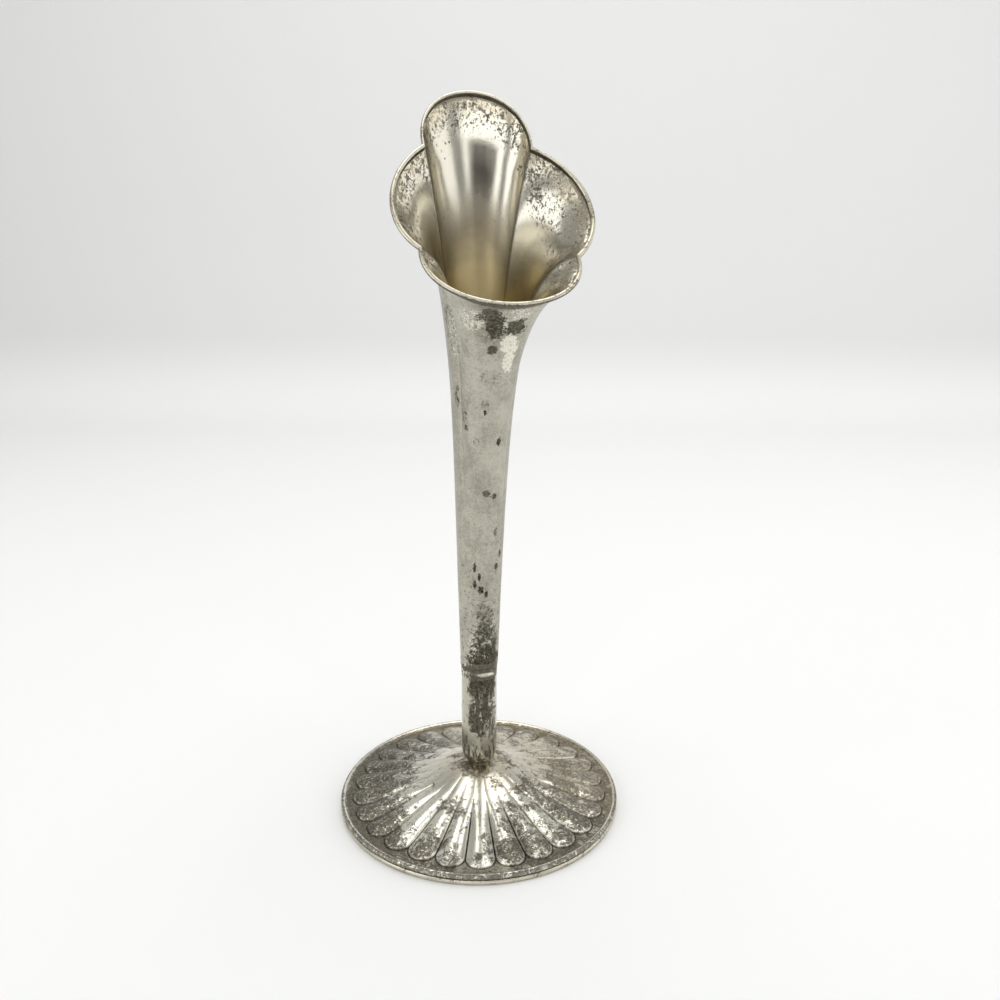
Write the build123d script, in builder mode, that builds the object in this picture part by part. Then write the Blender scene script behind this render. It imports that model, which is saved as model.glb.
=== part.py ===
"""Silver-plated trumpet vase: a four-lobed mouth, a slender lapped stem and a round petalled foot.

Millimetres, +Z up. The origin is the centre of the standing face under the foot, and the mouth faces -Y.
"""

import os
from math import atan2, cos, hypot, pi, radians, sin, sqrt, tan

from build123d import *

os.makedirs("parts", exist_ok=True)

# Foot: a stamped dome with a rolled edge, on a standing wire
foot_radius = 35.2
foot_wire_width = 2.6
foot_wire_height = 1.3
foot_edge_height = 1.4
foot_edge_width = 1.7
margin_drop = 0.55
margin_width = 6.2
dome_sheet = 0.8
dome_top_radius = 5.5
dome_peak_height = 14.4
dome_power = 1.35
dome_sections = 8
petal_count = 26
petal_turn = 1.5
petal_reach = 2.9
petal_power = 3.0

# Stem: a tube with a rounded closed end, lapped inside the trumpet
tip_bottom_height = 9.4
tip_shoulder_height = 18.5
tip_radius = 4.4
tip_flat_radius = 1.2
tip_wall = 0.6
joint_height = 38.8
joint_step = 0.25
lap_length = 8.0
lap_clearance = 0.08

# Trumpet: a bent, flared sheet cone with four lobes at its mouth
trumpet_wall = 0.8
joint_radius = 4.6
stem_growth = 3.9
bend_height = 105.7
mouth_height = 147.2
mouth_forward = 11.8
mouth_tilt = 55.2
tilt_power = 2.0
flare_power = 5.8
back_lobe_power = 5.5
back_cusp_power = 3.7
front_lobe_power = 3.0
trumpet_sections = 8
back_lobe_reach = 26.1
back_lobe_fullness = 0.85
side_lobe_reach = 20.7
side_lobe_drop = 0.4
front_lobe_reach = 25.3
front_lobe_fullness = 1.6
back_cusp_across = 11.6
back_cusp_along = 12.0
front_cusp_across = 16.3
front_cusp_along = 14.4
back_lobe_lean = 1.3
left_cusp_lift = 1.9
mouth_wire_radius = 0.75
mouth_wire_flat = 25.0
mouth_wire_sections = 4

# Solder runs
joint_solder_length = 1.2
base_solder_size = 0.7
seat_solder_drop = 0.9
seat_solder_reach = 2.4

# Heights and radii that follow from the sizes above
dome_edge_top = foot_wire_height + foot_edge_height
margin_height = dome_edge_top - margin_drop
dome_root_radius = foot_radius - margin_width
spigot_radius = joint_radius - trumpet_wall - lap_clearance
joint_tip_radius = joint_radius - joint_step


def lobe(start, crest, end, fullness=1.0):
    """Draw a cubic curve from start over the crest to end; at a fullness of 1 it follows an arc."""
    chord = (end[0] - start[0], end[1] - start[1])
    rise = hypot(crest[0] - start[0] - chord[0] / 2, crest[1] - start[1] - chord[1] / 2)
    quarter = atan2(rise, hypot(*chord) / 2)
    spread = fullness * (1 - 4 / 3 * tan(quarter) / tan(2 * quarter))
    middle = [(8 * crest[axis] - start[axis] - end[axis]) / 6 for axis in (0, 1)]
    first = (middle[0] - chord[0] * spread / 2, middle[1] - chord[1] * spread / 2)
    second = (middle[0] + chord[0] * spread / 2, middle[1] + chord[1] * spread / 2)
    Bezier(start, first, second, end)


def bell_height(radius):
    """Height of the dome's outer face at a radius, between its petals and on its small flat top."""
    share = 1 - max(radius, dome_top_radius) / dome_root_radius
    return margin_height + (dome_peak_height - margin_height) * share**dome_power


def tip_radius_at(height):
    """Outer radius of the rounded end of the stem at a height."""
    share = min(1, (tip_shoulder_height - height) / (tip_shoulder_height - tip_bottom_height))
    return tip_flat_radius + (tip_radius - tip_flat_radius) * sqrt(1 - share**2)


def tip_entry(drop):
    """Radius and height where the rounded end of the stem meets the dome's face, lowered by the drop."""
    radius = tip_radius
    for _ in range(40):
        radius = tip_radius_at(bell_height(radius) - drop)
    return (radius, bell_height(radius) - drop)


def solder_outline(drop, reach, rise):
    """Draw a solder run's triangle, with two corners in the sheet and one in the wall of the stem's tip."""
    radius, height = tip_entry(drop)
    inner = radius - tip_wall / 2
    outer = radius + reach
    Polyline(
        (inner, bell_height(inner) - dome_sheet / 2),
        (outer, bell_height(outer) - dome_sheet / 2),
        (tip_radius_at(height + rise) - tip_wall / 2, height + rise),
        close=True,
    )


def tip_end(radius, bottom_height):
    """Draw a rounded end from the axis, over a small flat, up to the shoulder of the stem's tip."""
    Line((0, bottom_height), (tip_flat_radius, bottom_height))
    EllipticalCenterArc(
        (tip_flat_radius, tip_shoulder_height),
        radius - tip_flat_radius,
        tip_shoulder_height - bottom_height,
        start_angle=270,
        arc_size=90,
    )


def trumpet_plane(share):
    """Plane of the trumpet's section at a share of the way from the lap joint to the mouth."""
    left = 1 - share
    height = joint_height * left**2 + 2 * bend_height * share * left + mouth_height * share**2
    tilt = radians(mouth_tilt * share**tilt_power)
    return Plane((0, -mouth_forward * share**2, height), x_dir=(1, 0, 0), z_dir=(0, -sin(tilt), cos(tilt)))


def trumpet_point(across, along, power, share, inset):
    """Point of a section, below a point of the mouth's outline, moved in from the outer face by the inset."""
    reach = hypot(across, along)
    stem = joint_radius + stem_growth * share
    radius = stem + (reach - joint_radius - stem_growth) * share**power - inset
    return (across / reach * radius, along / reach * radius)


def trumpet_outline(share, inset):
    """Draw the four lobes, back, right, front and left, of a section of the trumpet."""
    lean = back_lobe_lean
    left_along = left_cusp_lift - front_cusp_along
    back = trumpet_point(-lean, back_lobe_reach, back_lobe_power, share, inset)
    back_right = trumpet_point(back_cusp_across - lean, back_cusp_along, back_cusp_power, share, inset)
    right = trumpet_point(side_lobe_reach, -side_lobe_drop, flare_power, share, inset)
    front_right = trumpet_point(front_cusp_across, -front_cusp_along, flare_power, share, inset)
    front = trumpet_point(0, -front_lobe_reach, front_lobe_power, share, inset)
    front_left = trumpet_point(-front_cusp_across, left_along, flare_power, share, inset)
    left = trumpet_point(-side_lobe_reach, -side_lobe_drop, flare_power, share, inset)
    back_left = trumpet_point(-back_cusp_across - lean, back_cusp_along, back_cusp_power, share, inset)
    lobe(back_left, back, back_right, 1 + (back_lobe_fullness - 1) * share**flare_power)
    lobe(back_right, right, front_right)
    lobe(front_right, front, front_left, 1 + (front_lobe_fullness - 1) * share**flare_power)
    lobe(front_left, left, back_left)


def shell_between(outside, inside):
    """Thin solid between two lofts that end on the same two planes."""
    skins = [loft_part.faces().filter_by(GeomType.PLANE, reverse=True) for loft_part in (outside, inside)]
    ends = [loft_part.faces().filter_by(GeomType.PLANE).sort_by(Axis.Z) for loft_part in (outside, inside)]
    rims = [Face(outer.outer_wire(), [inner.outer_wire()]) for outer, inner in zip(ends[0], ends[1])]
    return Solid(Shell([*skins[0], *skins[1], *rims]))


def petal_outline(valley_radius, crest_radius):
    """Draw a closed ring of petals, with one petal near the front."""
    pitch = 2 * pi / petal_count
    for index in range(petal_count):
        angle = radians(petal_turn - 90) + index * pitch
        first = angle - pitch / 2
        last = angle + pitch / 2
        lobe(
            (valley_radius * cos(first), valley_radius * sin(first)),
            (crest_radius * cos(angle), crest_radius * sin(angle)),
            (valley_radius * cos(last), valley_radius * sin(last)),
        )


# Trumpet shell: the sheet between an outer and an inner loft
trumpet_lofts = []
for inset in (0, trumpet_wall):
    with BuildPart() as trumpet_loft:
        for index in range(trumpet_sections + 1):
            with BuildSketch(trumpet_plane(index / trumpet_sections)):
                with BuildLine():
                    trumpet_outline(index / trumpet_sections, inset)
                make_face()
        loft()
    trumpet_lofts.append(trumpet_loft.part)

with BuildPart() as trumpet_shell:
    add(shell_between(*trumpet_lofts))
trumpet_shell.part.label = "trumpet_shell"
export_step(trumpet_shell.part, "parts/trumpet_shell.step")

# Mouth wire: a round wire, with a narrow flat where it sits on the edge of the sheet
mouth_plane = trumpet_plane(1)
mouth_wire_rise = mouth_wire_radius * cos(radians(mouth_wire_flat))
mouth_wire_lofts = []
for side in (1, -1):
    with BuildPart() as mouth_wire_loft:
        for index in range(mouth_wire_sections + 1):
            turn = radians(mouth_wire_flat + (180 - 2 * mouth_wire_flat) * index / mouth_wire_sections)
            with BuildSketch(mouth_plane.offset(mouth_wire_rise - mouth_wire_radius * cos(turn))):
                with BuildLine():
                    trumpet_outline(1, trumpet_wall / 2 - side * mouth_wire_radius * sin(turn))
                make_face()
        loft()
    mouth_wire_lofts.append(mouth_wire_loft.part)

with BuildPart() as mouth_wire:
    add(shell_between(*mouth_wire_lofts))
mouth_wire.part.label = "mouth_wire"
export_step(mouth_wire.part, "parts/mouth_wire.step")

# Stem tip: the lower tube, with its rounded closed end and the spigot inside the trumpet
with BuildPart() as stem_tip:
    with BuildSketch(Plane.XZ):
        with BuildLine():
            tip_end(tip_radius, tip_bottom_height)
            Polyline(
                (tip_radius, tip_shoulder_height),
                (joint_tip_radius, joint_height),
                (spigot_radius, joint_height),
                (spigot_radius, joint_height + lap_length),
                (spigot_radius - tip_wall, joint_height + lap_length),
                (spigot_radius - tip_wall, tip_shoulder_height),
            )
            tip_end(spigot_radius - tip_wall, tip_bottom_height + tip_wall)
            Line((0, tip_bottom_height + tip_wall), (0, tip_bottom_height))
        make_face()
    revolve(axis=Axis.Z)
stem_tip.part.label = "stem_tip"
export_step(stem_tip.part, "parts/stem_tip.step")

# The rounded end without its hollow, which the dome and the solder fit round
with BuildPart() as tip_envelope:
    with BuildSketch(Plane.XZ):
        with BuildLine():
            tip_end(tip_radius, tip_bottom_height)
            Polyline((tip_radius, tip_shoulder_height), (0, tip_shoulder_height), (0, tip_bottom_height))
        make_face()
    revolve(axis=Axis.Z)

# Joint solder: the fillet of solder under the trumpet's lower edge
tip_slope = (joint_tip_radius - tip_radius) / (joint_height - tip_shoulder_height)
joint_solder_foot = (joint_tip_radius - tip_slope * joint_solder_length, joint_height - joint_solder_length)
with BuildPart() as joint_solder:
    with BuildSketch(Plane.XZ):
        with BuildLine():
            Polyline(joint_solder_foot, (joint_tip_radius, joint_height), (joint_radius, joint_height))
            ThreePointArc(
                (joint_radius, joint_height),
                (joint_radius, joint_height - joint_solder_length / 2),
                joint_solder_foot,
            )
        make_face()
    revolve(axis=Axis.Z)
joint_solder.part.label = "joint_solder"
export_step(joint_solder.part, "parts/joint_solder.step")

# Foot dome: a bell of sheet with convex petals on a flat margin and a rolled edge, pierced for the stem
edge_outer_radius = foot_radius - margin_drop
edge_inner_radius = foot_radius - foot_edge_width
dome_step = (dome_root_radius - dome_top_radius) / dome_sections
dome_radii = [dome_root_radius - dome_step * index for index in range(dome_sections + 1)]
with BuildPart() as foot_dome:
    with BuildSketch(Plane.XZ):
        with BuildLine():
            Polyline(
                (edge_inner_radius, margin_height),
                (0, margin_height),
                (0, foot_wire_height),
                (edge_outer_radius, foot_wire_height),
            )
            ThreePointArc(
                (edge_outer_radius, foot_wire_height),
                (foot_radius, foot_wire_height + foot_edge_height / 2),
                (edge_outer_radius, dome_edge_top),
            )
            Spline(
                (edge_outer_radius, dome_edge_top),
                (edge_inner_radius, margin_height),
                tangents=((-1, 0), (-1, 0)),
            )
        make_face()
    revolve(axis=Axis.Z)
    for radius in dome_radii:
        with BuildSketch(Plane.XY.offset(bell_height(radius))):
            with BuildLine():
                petal_outline(radius, radius + petal_reach * (radius / dome_root_radius) ** petal_power)
            make_face()
    loft()
    with BuildSketch(Plane.XZ):
        with BuildLine():
            Spline([(radius, bell_height(radius) - dome_sheet) for radius in dome_radii])
            Polyline(
                (dome_top_radius, bell_height(dome_top_radius) - dome_sheet),
                (0, bell_height(0) - dome_sheet),
                (0, 0),
                (dome_root_radius, 0),
                (dome_root_radius, margin_height - dome_sheet),
            )
        make_face()
    revolve(axis=Axis.Z, mode=Mode.SUBTRACT)
    add(tip_envelope.part, mode=Mode.SUBTRACT)
foot_dome.part.label = "foot_dome"
export_step(foot_dome.part, "parts/foot_dome.step")

# Foot wire: the half-round ring that the vase stands on
with BuildPart() as foot_wire:
    with BuildSketch(Plane.XZ):
        with BuildLine():
            Polyline(
                (edge_outer_radius, foot_wire_height),
                (foot_radius - foot_wire_width, foot_wire_height),
                (foot_radius - foot_wire_width, 0),
                (edge_outer_radius, 0),
            )
            ThreePointArc(
                (edge_outer_radius, 0),
                (foot_radius, foot_wire_height / 2),
                (edge_outer_radius, foot_wire_height),
            )
        make_face()
    revolve(axis=Axis.Z)
foot_wire.part.label = "foot_wire"
export_step(foot_wire.part, "parts/foot_wire.step")

# Base solder: a thin run in the corner between the stem and the top of the dome
with BuildPart() as base_solder:
    with BuildSketch(Plane.XZ):
        with BuildLine():
            solder_outline(0, base_solder_size, base_solder_size)
        make_face()
    revolve(axis=Axis.Z)
    add(tip_envelope.part, mode=Mode.SUBTRACT)
    add(foot_dome.part, mode=Mode.SUBTRACT)
base_solder.part.label = "base_solder"
export_step(base_solder.part, "parts/base_solder.step")

# Seat solder: the run under the dome that holds the rounded end of the stem
with BuildPart() as seat_solder:
    with BuildSketch(Plane.XZ):
        with BuildLine():
            solder_outline(dome_sheet, seat_solder_reach, -seat_solder_drop)
        make_face()
    revolve(axis=Axis.Z)
    add(tip_envelope.part, mode=Mode.SUBTRACT)
    add(foot_dome.part, mode=Mode.SUBTRACT)
seat_solder.part.label = "seat_solder"
export_step(seat_solder.part, "parts/seat_solder.step")
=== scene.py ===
"""Looks of a small silver-plated trumpet vase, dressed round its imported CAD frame.

Sizes of the pieces are in millimetres, as in the part's source, and the meshes are in metres.
"""

import logging
import math
from dataclasses import dataclass
from enum import Enum
from typing import Any, Union

import bpy
import numpy as np
from mathutils import Matrix, Vector


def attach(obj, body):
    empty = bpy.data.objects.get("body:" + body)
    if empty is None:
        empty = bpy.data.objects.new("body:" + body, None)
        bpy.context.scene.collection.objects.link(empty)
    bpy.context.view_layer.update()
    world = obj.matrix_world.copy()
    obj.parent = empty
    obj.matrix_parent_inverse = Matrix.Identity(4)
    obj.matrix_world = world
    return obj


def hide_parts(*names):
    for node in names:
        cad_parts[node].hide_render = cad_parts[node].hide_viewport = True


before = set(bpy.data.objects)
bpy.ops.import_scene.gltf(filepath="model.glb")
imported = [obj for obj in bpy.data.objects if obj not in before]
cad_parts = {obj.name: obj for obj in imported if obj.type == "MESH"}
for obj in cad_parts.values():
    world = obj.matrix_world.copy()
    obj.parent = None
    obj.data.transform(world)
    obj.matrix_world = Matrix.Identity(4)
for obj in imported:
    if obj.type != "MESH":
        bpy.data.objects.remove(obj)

LOG = logging.getLogger("vase")
MM = 0.001
BODY = "root"
Colour = tuple[float, float, float]
Array = np.ndarray


class Slot(Enum):
    """Names of the pieces' material slots."""

    TRUMPET = "silver_trumpet"
    WIRE = "silver_wire"
    STEM = "silver_stem"
    FOOT = "silver_foot"
    SOLDER = "solder"


class Value:
    """A shader socket on which Python's operators add Math nodes."""

    def __init__(self, shader: "Shader", socket: bpy.types.NodeSocket) -> None:
        """Keep the socket and the shader that it belongs to."""
        self.shader = shader
        self.socket = socket

    def _math(self, operation: str, other: "Number", flipped: bool = False) -> "Value":
        """Add a Math node on this value and another.

        Args:
            operation: The Math node's operation.
            other: The second value, or the first if flipped.
            flipped: Whether this value comes second.

        Returns:
            The node's result.
        """
        pair = (other, self) if flipped else (self, other)
        return self.shader.node("ShaderNodeMath", {"operation": operation}, {0: pair[0], 1: pair[1]})

    def __add__(self, other: "Number") -> "Value":
        """This value plus another."""
        return self._math("ADD", other)

    def __radd__(self, other: "Number") -> "Value":
        """A number plus this value."""
        return self._math("ADD", other, True)

    def __sub__(self, other: "Number") -> "Value":
        """This value less another."""
        return self._math("SUBTRACT", other)

    def __rsub__(self, other: "Number") -> "Value":
        """A number less this value."""
        return self._math("SUBTRACT", other, True)

    def __mul__(self, other: "Number") -> "Value":
        """This value times another."""
        return self._math("MULTIPLY", other)

    def __rmul__(self, other: "Number") -> "Value":
        """A number times this value."""
        return self._math("MULTIPLY", other, True)

    def __or__(self, other: "Number") -> "Value":
        """The larger of two masks."""
        return self._math("MAXIMUM", other)


Number = Union[Value, float, int]


class Shader:
    """A material's node tree, built from expressions."""

    def __init__(self, name: str) -> None:
        """Make an empty node material of that name.

        Args:
            name: The material's name.
        """
        self.material = bpy.data.materials.new(name)
        self.material.use_nodes = True
        self.tree = self.material.node_tree
        self.tree.nodes.clear()
        self.place = self.node("ShaderNodeTexCoord", output="Object")

    def node(
        self,
        kind: str,
        settings: dict[str, Any] | None = None,
        inputs: dict[Union[str, int], Any] | None = None,
        output: Union[str, int] = 0,
    ) -> Value:
        """Add a node.

        Args:
            kind: The node's type.
            settings: The node's own settings, set first.
            inputs: Values or links by socket name, identifier or index.
            output: Name, identifier or index of the output to give back.

        Returns:
            The chosen output.
        """
        made = self.tree.nodes.new(kind)
        for key, setting in (settings or {}).items():
            setattr(made, key, setting)
        for key, given in (inputs or {}).items():
            target = self._socket(made.inputs, key)
            if isinstance(given, Value):
                self.tree.links.new(given.socket, target)
            elif target.type == "RGBA" and len(given) == 3:
                target.default_value = (*given, 1.0)
            else:
                target.default_value = given
        return Value(self, self._socket(made.outputs, output) if len(made.outputs) else None)

    @staticmethod
    def _socket(sockets: Any, key: Union[str, int]) -> bpy.types.NodeSocket:
        """Find a socket by index, identifier or name.

        Args:
            sockets: A node's inputs or outputs.
            key: The socket's index, identifier or name.

        Returns:
            The socket.
        """
        if isinstance(key, int):
            return sockets[key]
        return next(item for item in sockets if key in (item.identifier, item.name))

    def mix(self, share: Number, first: Any, second: Any) -> Value:
        """Blend two colours: the first at a share of 0, the second at 1."""
        sockets = {"Factor_Float": share, "A_Color": first, "B_Color": second}
        return self.node("ShaderNodeMix", {"data_type": "RGBA"}, sockets, "Result_Color")

    def between(self, value: Number, low: Number, high: Number) -> Value:
        """A soft step from 0 at low to 1 at high; low may be above high."""
        settings = {"interpolation_type": "SMOOTHSTEP"}
        return self.node("ShaderNodeMapRange", settings, {"Value": value, "From Min": low, "From Max": high})

    def noise(
        self,
        scale: float,
        detail: float = 3.0,
        rough: float = 0.6,
        stretch: Colour = (1.0, 1.0, 1.0),
        warp: float = 0.0,
    ) -> Value:
        """Solid noise in the frame of the part.

        Args:
            scale: Cells per metre.
            detail: Number of finer layers.
            rough: Weight of the finer layers.
            stretch: Cells per axis, as a share of the scale.
            warp: Distortion.

        Returns:
            The noise, about 0.5.
        """
        place = self.place
        if stretch != (1.0, 1.0, 1.0):
            place = self.node("ShaderNodeVectorMath", {"operation": "MULTIPLY"}, {0: self.place, 1: stretch})
        sockets = {"Vector": place, "Scale": scale, "Detail": detail, "Roughness": rough, "Distortion": warp}
        return self.node("ShaderNodeTexNoise", {}, sockets)

    def attribute(self, name: str) -> Value:
        """A number that is stored on the mesh's points."""
        return self.node("ShaderNodeAttribute", {"attribute_name": name}, output="Fac")

    def axis(self, name: str) -> Value:
        """Place along an axis of the part, in millimetres."""
        return self.node("ShaderNodeSeparateXYZ", inputs={0: self.place}, output=name) * 1000.0

    def radius(self) -> Value:
        """Distance from the axis of the foot, in millimetres."""
        flat = self.node("ShaderNodeVectorMath", {"operation": "MULTIPLY"}, {0: self.place, 1: (1e3, 1e3, 0.0)})
        return self.node("ShaderNodeVectorMath", {"operation": "LENGTH"}, {0: flat}, "Value")

    def bump(self, relief: Value, depth: float, strength: float = 1.0) -> Value:
        """Normal of a relief between 0 and 1 that is depth millimetres deep."""
        return self.node("ShaderNodeBump", {}, {"Strength": strength, "Distance": depth * MM, "Height": relief})

    def surface(self, sockets: dict[str, Any]) -> bpy.types.Material:
        """Close the tree with a Principled surface.

        Args:
            sockets: Values or links of the surface's sockets.

        Returns:
            The finished material.
        """
        shader = self.node("ShaderNodeBsdfPrincipled", {}, sockets)
        self.node("ShaderNodeOutputMaterial", {}, {"Surface": shader})
        return self.material


@dataclass(frozen=True)
class Stain:
    """A dark or worn patch, round a point of the surface."""

    at: Colour
    size: Colour
    strength: float = 1.0
    torn: float = 1.8

    def mask(self, shader: Shader, ragged: Value) -> Value:
        """Mask of the patch.

        Args:
            shader: The material's tree.
            ragged: Noise about 0.5 that breaks up the edge.

        Returns:
            The patch's strength inside and 0 outside.
        """
        centre = tuple(value * MM for value in self.at)
        scale = tuple(1.0 / (value * MM) for value in self.size)
        moved = shader.node("ShaderNodeVectorMath", {"operation": "SUBTRACT"}, {0: shader.place, 1: centre})
        scaled = shader.node("ShaderNodeVectorMath", {"operation": "MULTIPLY"}, {0: moved, 1: scale})
        far = shader.node("ShaderNodeVectorMath", {"operation": "LENGTH"}, {0: scaled}, "Value")
        return shader.between(far + (ragged - 0.5) * self.torn, 1.05, 0.85) * self.strength


@dataclass(frozen=True)
class Plate:
    """Worn silver plate: its colours and gloss."""

    silver: Colour = (0.66, 0.63, 0.54)
    warm: Colour = (0.50, 0.42, 0.25)
    tarnish_and_shade: Colour = (0.13, 0.115, 0.080)
    black: Colour = (0.022, 0.019, 0.013)
    rough: float = 0.24
    dark_rough: float = 0.22
    dark_dull: float = 0.3
    relief_depth: float = 0.05
    relief_strength: float = 0.6

    def finish(self, shader: Shader, plate: Value, rough: Number, dark: Value, relief: Value) -> bpy.types.Material:
        """Close a material from its masks.

        Args:
            shader: The material's tree.
            plate: Colour of the clean plate.
            rough: Roughness of the clean plate.
            dark: Mask of the tarnish and of painted shade.
            relief: Height of the fine relief, from 0 to 1.

        Returns:
            The finished material.
        """
        # The dark mask holds tarnish and painted shade alike; both take these dark colours.
        dark_grain = shader.between(shader.noise(1700.0, 4.0, 0.75), 0.36, 0.64)
        colour = shader.mix(dark, plate, shader.mix(dark_grain, self.black, self.tarnish_and_shade))
        normal = shader.bump(relief, self.relief_depth, self.relief_strength)
        worn = {"Roughness": rough + dark * self.dark_rough, "Metallic": 1.0 - dark * self.dark_dull}
        return shader.surface({"Base Color": colour, "Normal": normal} | worn)

    @staticmethod
    def union(shader: Shader, stains: tuple[Stain, ...], ragged: Value) -> Value:
        """Mask of several patches together.

        Args:
            shader: The material's tree.
            stains: The patches.
            ragged: Noise about 0.5 that breaks up their edges.

        Returns:
            The largest of their masks.
        """
        whole = stains[0].mask(shader, ragged)
        for stain in stains[1:]:
            whole = whole | stain.mask(shader, ragged)
        return whole


@dataclass(frozen=True)
class TrumpetPlate(Plate):
    """Plate of the trumpet: bright and speckled in the mouth, satin outside."""

    satin: Colour = (0.53, 0.51, 0.435)
    satin_low: Colour = (0.33, 0.31, 0.255)
    cream: Colour = (0.80, 0.77, 0.66)
    # Darker colour deeper in the mouth: painted shade.
    throat_shade: Colour = (0.33, 0.29, 0.205)
    gold: Colour = (0.62, 0.51, 0.29)
    rough: float = 0.40
    stains: tuple[Stain, ...] = (
        Stain((-3.4, -23.4, 124.2), (2.6, 3.5, 1.7), 0.85, 3.4),
        Stain((-1.6, -22.0, 122.4), (2.5, 3.5, 3.3), 0.95, 3.4),
        Stain((2.6, -21.9, 121.7), (2.8, 3.5, 2.1), 0.95, 3.2),
        Stain((-1.3, -18.7, 116.9), (1.15, 2.4, 1.35), 0.9, 2.0),
    )
    flecked: tuple[Stain, ...] = (
        Stain((2.4, -16.0, 112.2), (0.5, 1.6, 0.6)),
        Stain((2.1, -10.6, 95.9), (0.6, 1.4, 1.2)),
        Stain((-1.5, -12.7, 102.8), (0.4, 1.4, 0.7)),
        Stain((-2.3, -5.4, 64.6), (0.4, 1.0, 1.3)),
        Stain((-1.2, -5.6, 62.4), (0.4, 1.0, 1.2)),
        Stain((-2.2, -5.1, 60.4), (0.4, 1.0, 1.3)),
        Stain((-0.8, -5.5, 59.0), (0.8, 1.0, 1.1)),
        Stain((0.5, -5.5, 57.8), (0.5, 1.0, 1.0)),
        Stain((3.0, -5.1, 64.6), (0.6, 1.0, 0.9)),
        Stain((3.9, -4.4, 67.5), (0.4, 1.0, 1.3)),
        Stain((2.4, -6.4, 73.4), (0.6, 1.0, 1.2), 0.6),
        Stain((-0.2, -8.3, 83.2), (1.1, 1.0, 0.9), 0.8),
        Stain((1.7, -8.0, 82.5), (0.7, 1.0, 0.8), 0.9),
    )
    mottles: tuple[Stain, ...] = (
        Stain((-8.4, -10.5, 120.3), (2.2, 3.5, 8.0), 0.75),
        Stain((-6.5, -7.1, 106.0), (0.5, 1.4, 4.5)),
        Stain((-5.1, -8.6, 100.6), (0.9, 1.6, 3.4)),
        Stain((-1.6, -13.3, 104.8), (1.0, 1.8, 1.3), 0.8),
        Stain((-1.1, -15.7, 110.6), (3.0, 2.4, 2.0), 0.55),
        Stain((-2.9, -10.1, 95.9), (0.8, 1.4, 0.8), 0.7),
        Stain((-1.1, -20.8, 120.2), (5.0, 4.0, 2.5), 0.6),
    )
    worn: tuple[Stain, ...] = (
        Stain((2.2, -19.2, 117.9), (1.9, 2.8, 2.6), 1.0, 3.4),
        Stain((2.4, -17.3, 114.6), (1.2, 2.6, 3.3), 1.0, 3.0),
    )
    flaked: tuple[Stain, ...] = (
        Stain((-6.4, -20.8, 123.4), (3.2, 4.5, 3.0), 0.9),
        Stain((2.4, -24.5, 124.6), (4.0, 3.5, 1.5), 0.9),
        Stain((0.5, -22.3, 122.2), (0.7, 3.5, 2.6), 0.9),
        Stain((-7.9, -11.0, 118.8), (2.0, 3.5, 8.0), 0.8),
        Stain((-2.7, -4.4, 43.5), (1.2, 2.5, 4.0), 0.95),
    )
    joint: tuple[Stain, ...] = (
        Stain((0.3, -4.9, 40.2), (5.4, 4.0, 3.6)),
        Stain((0.8, -4.9, 44.6), (3.8, 3.0, 4.8), 0.95, 2.6),
        Stain((0.4, -5.1, 51.5), (2.0, 2.0, 3.6), 0.9, 2.6),
    )

    def material(self) -> bpy.types.Material:
        """Make the trumpet's material.

        Returns:
            The material.
        """
        shader = Shader("silver_trumpet")
        inner = shader.attribute("inner")
        outside = 1.0 - inner
        edge = shader.attribute("edge")
        fine = shader.noise(2600.0, 3.0, 0.65)
        dash = shader.noise(1350.0, 5.0, 0.8, (1.0, 1.0, 0.8))
        cloud = shader.noise(140.0, 3.0, 0.6)
        streak = shader.noise(900.0, 3.0, 0.6, (1.0, 1.0, 0.06))
        ragged = shader.noise(900.0, 6.0, 0.85)
        flaky = shader.noise(420.0, 3.0, 0.6) * 0.55 + ragged * 0.45
        height = shader.axis("Z")
        band = shader.between(edge - shader.between(shader.axis("X"), 8.0, 12.0) * 6.0, 13.5, 4.0)
        lower = shader.between(height, 85.0, 45.0) * 0.08 + cloud * 0.08
        level = 0.69 - inner * (band * 0.15 + (cloud - 0.5) * 0.3) - outside * lower
        specks = shader.between(dash, level, level + 0.025) * (0.65 + ragged * 0.5)
        specks = specks | (outside * shader.between(fine, 0.63, 0.69) * 0.5)
        flared = shader.between(shader.attribute("along"), 0.6, 0.9)
        fold = shader.between(shader.attribute("crease"), 0.5, 0.12) * flared
        rim = shader.between(edge + (cloud - 0.5) * 14.0, 5.0, 1.0)
        mottle = shader.between(ragged * 0.5 + dash * 0.5, 0.48, 0.56)
        dark = specks | (fold * (inner * 0.6 + 0.15)) | (inner * rim * mottle * 0.55)
        dark = dark | (self.union(shader, self.mottles, ragged) * mottle)
        # Stains, the burnt joint and small flecks, then a painted shadow on the outside below the wire
        burnt = self.union(shader, self.joint, ragged)
        flecks = shader.between(dash * 0.5 + ragged * 0.5 + (height - 42.0) * 0.008, 0.54, 0.60)
        chips = shader.between(fine * 0.4 + ragged * 0.6, 0.55, 0.60)
        stained = self.union(shader, self.stains, flaky) * (1.0 - chips * 0.6)
        dark = dark | stained | (burnt * (1.0 - flecks * 0.75))
        dark = dark | self.union(shader, self.flecked, fine * 1.1 + dash * 0.6 - 0.3)
        # Dark band on the outside just below the wire: painted shadow of the lip.
        dark = dark | (outside * shader.between(edge + (ragged - 0.5) * 0.6, 1.5, 0.7) * 0.75)
        # Bare, flaked plate
        pale = self.union(shader, self.worn, flaky) * shader.between(fine, 0.32, 0.48)
        bare = shader.between(fine * 0.5 + ragged * 0.5, 0.49, 0.55)
        pale = pale | (self.union(shader, self.flaked, ragged) * bare)
        pale = outside * (pale | (burnt * flecks * shader.between(height, 48.5, 45.5) * 0.8))
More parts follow.
